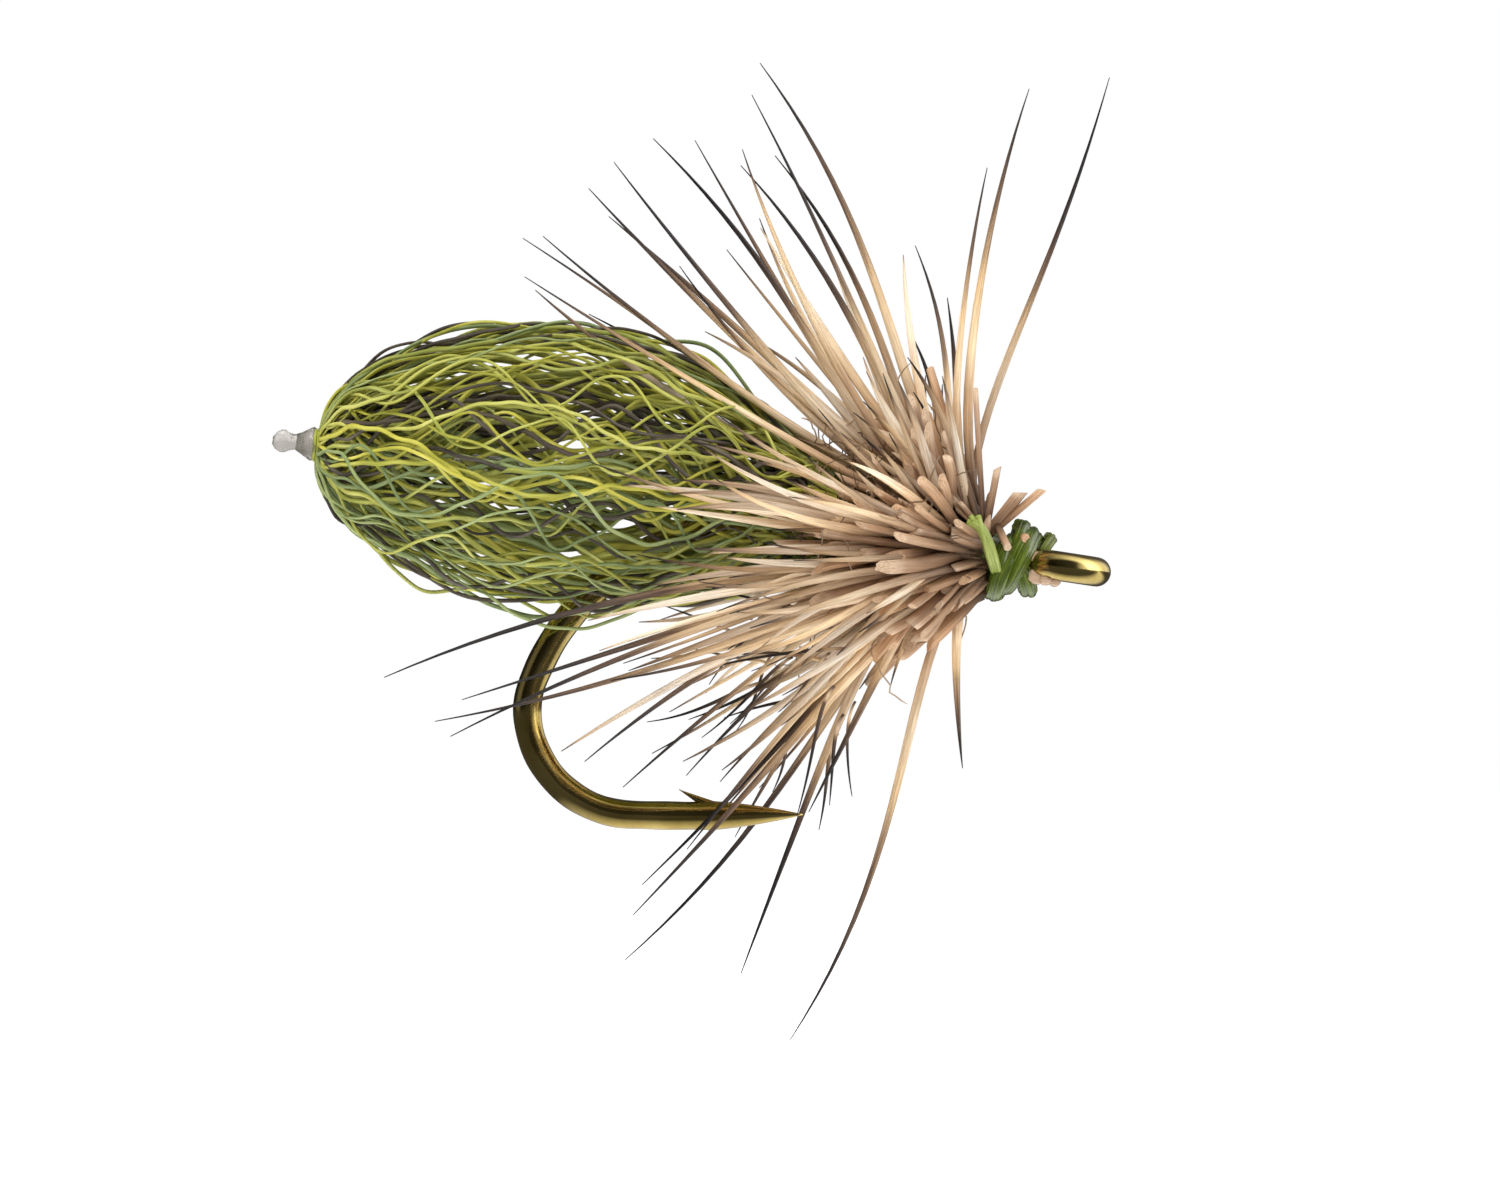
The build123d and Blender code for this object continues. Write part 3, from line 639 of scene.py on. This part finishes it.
def grow_seen_butts():
    root = shank(1.15)[0] + Vector((0, -0.45, 0.3))
    for x, z, thick in SEEN_BUTTS:
        tip = Vector((x, -0.5, z))
        line = [root.lerp(tip, k / 6) for k in range(7)]
        angle = degrees(atan2(z - root.z, x - root.x)) % 360
        bundles[group_of(angle, BUTT_GROUPS)].add(
            line, [thick * 0.8] + [thick] * 6, BUTT_SIDES, draw.random(), flat=0.5, slant=0.6,
        )


def grow_butts():
    for first, last, least, most, count, shortest, longest, near, far, low, high in BUTT_FANS:
        for i in range(count):
            angle = first + (last - first) * (i + draw.random()) / count
            side = 1 if i % 3 == 0 else -1
            direction = fan_direction(angle, draw.uniform(least, most), side)
            distance = draw.uniform(near, far)
            root = hair_root(direction, distance, draw.uniform(low, high))
            length = draw.uniform(shortest, longest)
            thick = draw.uniform(0.08, 0.18)
            if angle < BUTT_GROUPS[1][1]:
                thick *= TOP_BUTTS_THINNER
            tip = root + direction * length
            line = hair_line(root, tip, distance, (draw.uniform(-0.03, 0.03), 0), BUTT_STEPS)
            radii = [thick * (0.7 + 0.3 * min(k / 3, 1)) for k in range(BUTT_STEPS + 1)]
            radii[-1] *= 0.93
            bundles[group_of(angle, BUTT_GROUPS)].add(
                line, radii, BUTT_SIDES, draw.random(), flat=draw.uniform(0.4, 0.95),
                slant=draw.uniform(0.3, 1.9),
            )


grow_seen_hairs()
grow_fans()
grow_loose_tips()
grow_butts()
grow_seen_butts()
for name, _, node in LONG_GROUPS:
    nodes = ["hair_side_near", "hair_side_far"] if node == "hair_side_near" else [node]
    bundles[name].piece(name, HAIR, "hair", nodes)
for name, _, node in BUTT_GROUPS:
    bundles[name].piece(name, BUTT, "hair_base", [node])
pale_hairs.piece("hair_pale", PALE_HAIR, "hair")


# ---------------------------------------------------------------- dubbing and underfur
def curl(start, heading, length, wildness, steps):
    """A fine fibre that wanders as it goes."""
    points, point, heading = [start], start.copy(), heading.normalized()
    for _ in range(steps):
        turn = Vector((draw.gauss(0, 1), draw.gauss(0, 1), draw.gauss(0, 1)))
        heading = (heading + turn * wildness).normalized()
        point = point + heading * length / steps
        points.append(point.copy())
    return points


FUZZ_FIBRES, WISPS = 620, 120


def build_dubbing():
    fuzz, core = Fibres(), []
    for i in range(13):
        point, _, up = shank(2.4 + 0.18 * i)
        core.append(point + up * 0.14)
    fuzz.add(core, [0.3 + 0.55 * sin(pi * (i + 0.6) / 13.2) for i in range(13)], 16, 0.2)
    for _ in range(FUZZ_FIBRES):
        distance = draw.uniform(2.3, 4.6)
        point, forward, _ = shank(distance)
        out = Vector((draw.gauss(0, 1), draw.gauss(0, 1), draw.gauss(0, 1)))
        out = (out - forward * out.dot(forward)).normalized()
        start = point + out * draw.uniform(0.5, 0.85)
        heading = forward * draw.uniform(0.2, 1) + out * 0.6
        line = curl(start, heading, draw.uniform(0.7, 1.8), 0.35, 8)
        fuzz.add(line, [0.016] * 8 + [0.006], 4, draw.random())
    fuzz.piece("dubbing_fuzz", DUBBING, "dubbing", ["thorax_dubbing"])
    wisps = Fibres()
    for _ in range(WISPS):
        distance = draw.uniform(1.3, 3.8)
        point, forward, up = shank(distance)
        turn = draw.uniform(0, 2 * pi)
        out = up * cos(turn) + NEAR * sin(turn)
        start = point + out * draw.uniform(0.9, 2.3) + forward * draw.uniform(0, 1.2)
        heading = forward + out * draw.uniform(-0.3, 0.8)
        line = curl(start, heading, draw.uniform(1.2, 3.0), 0.34, 16)
        wisps.add(line, [0.017] * 16 + [0.006], 4, draw.random())
    wisps.piece("underfur_wisps", UNDERFUR, "underfur", ["underfur"])


build_dubbing()

# ---------------------------------------------------------------- extended body
body_length = hypot(FRONT[0] - TAIL[0], FRONT[1] - TAIL[1])
body_forward = flat_point(FRONT[0] - TAIL[0], FRONT[1] - TAIL[1]) / body_length
body_up = flat_point(-body_forward.z, body_forward.x)

# Outline of the body: share of a strand's length, distance from the tail, radius
OUTLINE = (
    (0.0, -0.05, 0.28), (0.05, 0.05, 0.74), (0.11, 0.42, 1.27), (0.18, 1.15, 1.88), (0.26, 2.2, 2.42),
    (0.35, 3.5, 2.83), (0.46, 5.0, 3.08), (0.57, 6.4, 3.02), (0.68, 7.9, 2.62), (0.79, 9.3, 1.98),
    (0.9, 10.5, 1.36), (1.0, 11.5, 0.85),
)
OUTLINE_PLACES, OUTLINE_ALONG, OUTLINE_RADII = zip(*OUTLINE)

# Strands that loop out by the tail: colour, direction round the body, middle of the loop, height
REAR_LOOPS = (
    ("chartreuse", 0.2, 0.09, 0.3), ("dark", -0.1, 0.2, 0.24), ("dark", 0.12, 0.26, 0.2),
    ("sage", 2.8, 0.12, 0.3), ("sage", 3.05, 0.17, 0.32), ("olive", 2.6, 0.2, 0.22),
    ("sage", 0.3, 0.7, 0.35), ("olive", 3.2, 0.3, 0.25),
)


def body_place(along, radius, direction):
    """Point this far along the body from its tail, and this far out from its middle."""
    outward = body_up * cos(direction) + NEAR * sin(direction)
    bow = BODY_BOW * sin(pi * min(max(along / body_length, 0), 1))
    return flat_point(*TAIL) + body_forward * along + body_up * bow + outward * radius


def crinkle(share, waves):
    """Sum of waves, as (wavelength, height, phase), at a share of a strand."""
    return sum(h * sin(2 * pi * share * STRAND_LENGTH / w + p) for w, h, p in waves)


def grow_strand(fibres, direction, size, tone, bulge=None):
    """Grow a strand; bulge is an extra curve outward: its middle, half its width and its height."""
    outward, sideways = [], []
    lively = draw.uniform(0.35, 1.15)
    for waves in (outward, sideways):
        for shortest, longest, low, high, part in (
            (0.7, 1.1, 0.012, 0.042, lively), (1.5, 2.8, 0.03, 0.11, lively),
            (3.0, 7.0, 0.2, 0.65, 1),
        ):
            wavelength, wave = draw.uniform(shortest, longest), part * draw.uniform(low, high)
            waves.append((wavelength, wave, draw.uniform(0, 6.28)))
    outward = [(w, 0.38 * h, p) for w, h, p in outward]
    swirl = draw.gauss(0, 0.34)
    points = []
    for i in range(STRAND_STEPS + 1):
        share = i / STRAND_STEPS
        along = smooth_through(OUTLINE_ALONG, OUTLINE_PLACES, share)
        radius = smooth_through(OUTLINE_RADII, OUTLINE_PLACES, share)
        loose = min(1, 8 * share, 6 * (1 - share))
        radius = radius * (size + (1 - size) * (1 - loose)) + loose * crinkle(share, outward)
        if bulge and abs(share - bulge[0]) < bulge[1]:
            radius += bulge[2] * cos(0.5 * pi * (share - bulge[0]) / bulge[1]) ** 2
        across = loose * crinkle(share, sideways) + swirl * radius * sin(pi * share)
        turn = direction + across / max(radius, 0.5)
        points.append(body_place(along + (1 - size) * 1.2 * (1 - share), max(radius, 0.05), turn))
    wide = draw.random() < (0.08 if size > 0.8 else 0.5)
    thick = draw.uniform(0.06, 0.095) if wide else draw.uniform(0.034, 0.058)
    flat = 0.45 if wide else draw.uniform(0.5, 1.0)
    fibres.add(points, [thick] * (STRAND_STEPS + 1), 6, tone, flat=flat)


def colour_for(direction):
    """Strand colour by its place round the body: dark on top, sage below, yellow on the sides."""
    top = 0.5 + 0.5 * cos(direction)
    pick = draw.random()
    if pick < 0.13 + 0.1 * top:
        return "dark"
    if pick < 0.46 + 0.06 * top:
        return "olive"
    if pick < 0.78 - 0.14 * top:
        return "sage" if draw.random() < 0.9 - 0.5 * top else "chartreuse"
    return "chartreuse"


def build_strands():
    colours = {name: Fibres() for name in STRANDS}
    for i in range(STRAND_COUNT):
        direction = 2 * pi * (i + draw.uniform(-0.6, 0.6)) / STRAND_COUNT
        size = 1.0 - 0.36 * draw.random() ** 1.4
        if i % 5 == 0:
            size *= draw.uniform(0.3, 0.8)
        grow_strand(colours[colour_for(direction)], direction, size, draw.random())
    for direction in (2.2, 2.45, 2.6, 2.75, 2.9):
        tone, bulge = draw.random(), (0.5, 0.3, draw.uniform(0.1, 0.3))
        grow_strand(colours["sage"], direction, 1.0, tone, bulge)
    for name, direction, middle, height in REAR_LOOPS:
        grow_strand(colours[name], direction, 1.0, draw.random(), (middle, 0.12, height))
    for name, fibres in colours.items():
        obj = fibres.piece(
            f"strands_{name}", STRANDS[name], f"strand_{name}", [f"body_strands_{name}"], body=None,
        )
        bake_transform(obj)


build_strands()


# ---------------------------------------------------------------- core, knob and tail thread
def roughen(obj, waves_per_mm, height, behind=None):
    """Make a piece lumpy, or only its part behind an X in millimetres."""
    for vertex in obj.data.vertices:
        place = vertex.co / MM
        if behind is None or place.x < behind:
            vertex.co += Vector(noise.noise_vector(place * waves_per_mm)) * height * MM


def build_tail():
    knob, front = flat_point(*KNOB_CENTRE), flat_point(*CORE_END)
    back = (knob - front).normalized()
    length = (knob - front).length
    core = Fibres()
    # Distance along the core and radius: a plain rod, then its neck and knob
    stations = [(length * i / 24, CORE_R) for i in range(23)]
    stations += [(length + past, radius) for past, radius in (
        (-0.42, 0.195), (-0.32, 0.185), (-0.22, 0.19), (-0.12, 0.225), (-0.02, 0.25), (0.1, 0.245),
        (0.19, 0.19), (0.24, 0.09),
    )]
    core.add([front + back * s for s, _ in stations], [r for _, r in stations], 20)
    obj = core.piece("mono_and_knob", CLEAR, "clear_mono", ["mono_core"], REAR_BODY)
    roughen(obj, 4.5, 0.05, behind=KNOB_CENTRE[0] + 0.3)
    cement = Fibres()
    cone = ((-0.7, 0.34), (-0.62, 0.36), (-0.54, 0.32), (-0.46, 0.28), (-0.38, 0.24), (-0.28, 0.2))
    cement.add([knob + back * s for s, _ in cone], [r for _, r in cone], 20)
    roughen(cement.piece("tail_cement_drop", CLEAR, "cement", ["tail_cement"], REAR_BODY), 5, 0.04)
    thread = Fibres()
    across = FAR.cross(back)
    steps = 18
    for layer, (radius, turns, thick) in enumerate(((0.27, 6, 0.045), (0.32, 5, 0.042))):
        line = []
        for i in range(turns * steps + 1):
            turn = 2 * pi * i / steps
            along = -1.12 + 0.08 * layer + (0.46 - 0.08 * layer) * i / (turns * steps)
            wobble = 0.02 * sin(turn * 0.7 + layer)
            out = across * cos(turn) + FAR * sin(turn)
            line.append(knob + back * along + out * (radius + wobble))
        thread.add(line, [thick] * len(line), 7, 0.3 + 0.4 * layer)
    thread.piece("tail_thread_turns", TAIL_THREAD, "tail_thread", ["tail_tie_thread"], REAR_BODY)


build_tail()


# ---------------------------------------------------------------- head
BAND_CORDS, BAND_STEPS = 6, 48


def band(fibres, centre, tilt, radius, width, depth, tone, drift=0.0):
    """A band of floss round the head: a bundle of fibres laid side by side on a tilted loop."""
    axis = unit(180 - tilt)
    up = flat_point(axis.z, -axis.x)
    for cord in range(BAND_CORDS):
        spot = 2 * pi * cord / BAND_CORDS
        phase = draw.uniform(0, 6.28)
        line = []
        for i in range(BAND_STEPS + 1):
            share = i / BAND_STEPS
            turn = 2 * pi * share
            twist = spot + 0.5 * sin(turn + phase)
            bulge = 1 + 0.12 * sin(2 * turn + phase)
            out = radius + depth * 0.62 * cos(twist) * bulge
            along = width * 0.62 * sin(twist) * bulge + drift * (share - 0.5)
            outward = up * cos(turn) + NEAR * sin(turn)
            line.append(flat_point(*centre) + axis * along + outward * out)
        shade = min(max(tone + draw.uniform(-0.2, 0.2), 0), 1)
        fibres.add(line, [depth * 0.72] * (BAND_STEPS + 1), 10, shade)


def build_head():
    thread = Fibres()
    core = [shank(0.42 + 0.1 * i)[0] for i in range(11)]
    thread.add(core, [0.34, 0.4, 0.44, 0.45, 0.45, 0.46, 0.48, 0.52, 0.56, 0.6, 0.6], 20, 0.1)
    band(thread, (-1.03, 0.14), 29, 0.6, 0.19, 0.17, 0.5)
    band(thread, (-1.38, 0.0), 20, 0.54, 0.24, 0.18, 0.45)
    band(thread, (-1.05, 0.55), 12, 0.36, 0.13, 0.12, 0.15, drift=0.1)
    band(thread, (-0.98, -0.05), -20, 0.46, 0.17, 0.15, 0.35)
    thread.piece("head_thread_bands", HEAD, "head_thread", ["head_thread"])
    knot = Fibres()
    band(knot, (-0.52, 0.33), 30, 0.36, 0.1, 0.08, 0.5, drift=0.08)
    knot.piece("whip_finish_turns", HEAD_OLIVE, "head_thread", ["whip_finish_knot"])
    tag = Fibres()
    for k in range(9):
        fray = Vector((
            draw.uniform(-0.16, 0.16), draw.uniform(-0.05, 0.05), draw.uniform(-0.05, 0.12),
        ))
        offset = flat_point(0.085 * sin(2.1 * k), 0)
        offset.y = 0.05 * cos(1.7 * k)
        control = [Vector((-2.04, -1.7, 1.0)) + fray] + [Vector(place) + offset for place in (
            (-1.8, -1.75, 0.85), (-1.66, -1.66, 0.42), (-1.6, -1.15, -0.05), (-1.42, 0.15, -0.32),
        )]
        radii = [(0.06 + 0.012 * (k % 2)) * min(1, 1.6 - i / 20) for i in range(21)]
        tag.add([bezier(control, i / 20) for i in range(21)], radii, 7, draw.random())
    tag.piece("strand_tag_end", TAG, "strand_chartreuse", ["strand_tag"])
    drop = Fibres()
    for place, size in (
        ((-0.66, -0.5, -0.2), 0.17), ((-0.44, -0.6, -0.27), 0.13), ((-0.27, -0.6, -0.32), 0.1),
    ):
        turns = [pi * i / 12 for i in range(13)]
        line = [Vector(place) - flat_point(size * 1.3 * cos(turn), 0) for turn in turns]
        drop.add(line, [max(size * sin(turn), 0.01) for turn in turns], 14)
    roughen(drop.piece("head_cement_drop", CEMENT, "cement", ["head_cement"]), 6, 0.05)
    stub = Fibres()
    for start, end, thick in (
        ((-0.78, -0.1, 0.35), (-0.64, -0.56, 0.2), 0.15),
        ((-1.0, -0.3, 0.7), (-0.88, -0.62, 0.62), 0.1),
        ((-1.5, -0.5, 0.9), (-1.28, -0.78, 0.42), 0.1),
    ):
        line = [Vector(start).lerp(Vector(end), i / 5) for i in range(6)]
        stub.add(line, [thick] * 6, BUTT_SIDES, draw.random(), flat=0.8, slant=0.3)
    stub.piece("butts_in_head", BUTT, "hair_base")


build_head()

# ---------------------------------------------------------------- CAD pieces that stay
for name, material in (
    ("shank_thread_base", TYING), ("core_lashing_thread", TYING), ("body_front_tie", TYING),
    ("collar_thread", TYING), ("core_stub", CLEAR),
):
    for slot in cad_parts[name].material_slots:
        slot.material = material


# ---------------------------------------------------------------- floor, light and camera
# These are in metres
FLOOR_HALF, FLOOR_Z = 0.4, -0.0106
CAMERA_DISTANCE, VIEW_WIDTH = 0.3, 0.0326
VIEW_CENTRE = (-0.00687, -0.000711)


def build_floor():
    """A pale floor, which glossy rays see as dark with a bright patch behind the object."""
    g = Graph("floor_white", roughness=0.9, specular_ior_level=0.1, emission_strength=1.0)
    place = g.add("TexCoord", out="Object")
    x, y = g.axes(place, 0, 1)
    patch = g.math("MULTIPLY", g.map_range(y, -0.007, 0.001), g.map_range(y, 0.017, 0.007))
    patch = g.math("MULTIPLY", patch, g.map_range(x, -0.016, -0.01))
    pale = g.ramp(g.noise(place, 40.0, 2.0), ((0.3, (0.93, 0.93, 0.93)), (0.7, (0.96, 0.96, 0.96))))
    in_reflections = g.in_reflections()
    shine = g.mix(patch, (0.02, 0.02, 0.02, 1), (1.2, 1.2, 1.2, 1))
    glow = g.mix(in_reflections, (0.6, 0.6, 0.6, 1), shine)
    colour = g.mix(in_reflections, pale, (0.05, 0.05, 0.05, 1))
    for value, socket in ((colour, "Base Color"), (glow, "Emission Color")):
        g.tree.links.new(value, g.shader.inputs[socket])
    mesh = bpy.data.meshes.new("floor")
    corners = [
        (x * FLOOR_HALF, y * FLOOR_HALF, FLOOR_Z) for x, y in ((-1, -1), (1, -1), (1, 1), (-1, 1))
    ]
    mesh.from_pydata(corners, [], [(0, 1, 2, 3)])
    mesh.materials.append(g.material)
    obj = bpy.data.objects.new("floor", mesh)
    bpy.context.scene.collection.objects.link(obj)


def build_lights():
    """Three soft lamps; only the one ahead of the fly shows in reflections."""
    middle = Vector((-0.007, 0, 0))
    for name, place, wide, power, in_gloss in (
        ("light_top", (-0.04, -0.06, 0.14), 0.08, 0.2, False),
        ("light_left", (-0.16, -0.05, 0.05), 0.1, 0.03, False),
        ("light_right", (0.14, -0.04, 0.03), 0.1, 0.03, True),
    ):
        lamp = bpy.data.lights.new(name, "AREA")
        lamp.energy, lamp.size = power, wide
        light = bpy.data.objects.new(name, lamp)
        light.visible_glossy = in_gloss
        light.location = place
        light.rotation_euler = (middle - Vector(place)).to_track_quat("-Z", "Y").to_euler()
        bpy.context.scene.collection.objects.link(light)


def build_world():
    """White to the camera, grey to diffuse rays, and soft bands of dark and light to glossy rays."""
    world = bpy.data.worlds.new("studio")
    g = Nodes(world)
    x, y = g.axes(g.add("TexCoord", out="Generated"), 0, 1)
    bands = g.ramp(g.map_range(y, -1.0, 1.0), (
        (0.2, (0.05, 0.05, 0.05)), (0.32, (1.7, 1.7, 1.7)), (0.54, (1.3, 1.3, 1.3)),
        (0.7, (0.14, 0.14, 0.14)),
    ))
    bands = g.mix(1.0, bands, g.map_range(x, -0.5, 0.4, 0.12, 1.0), "MULTIPLY")
    bands = g.mix(1.0, bands, g.map_range(x, 0.45, 0.75, 0.0, 1.3), "ADD")
    soft = g.mix(g.add("LightPath", out="Is Diffuse Ray"), (1, 1, 1, 1), (0.45, 0.455, 0.47, 1))
    sky = g.add("Background", ((0, g.mix(g.in_reflections(), soft, bands)),))
    output = g.tree.nodes.new("ShaderNodeOutputWorld")
    g.tree.links.new(sky, output.inputs[0])
    bpy.context.scene.world = world
    bpy.context.scene.view_settings.view_transform = "Standard"


def build_camera():
    """A long lens level with the fly, square to its side."""
    lens = bpy.data.cameras.new("camera")
    lens.sensor_width = 36
    lens.lens = lens.sensor_width * CAMERA_DISTANCE / VIEW_WIDTH
    lens.clip_start, lens.clip_end = 0.001, 10
    camera = bpy.data.objects.new("camera", lens)
    camera.location = (VIEW_CENTRE[0], -CAMERA_DISTANCE, VIEW_CENTRE[1])
    camera.rotation_euler = (pi / 2, 0, 0)
    bpy.context.scene.collection.objects.link(camera)
    bpy.context.scene.camera = camera


build_floor()
build_lights()
build_world()
build_camera()
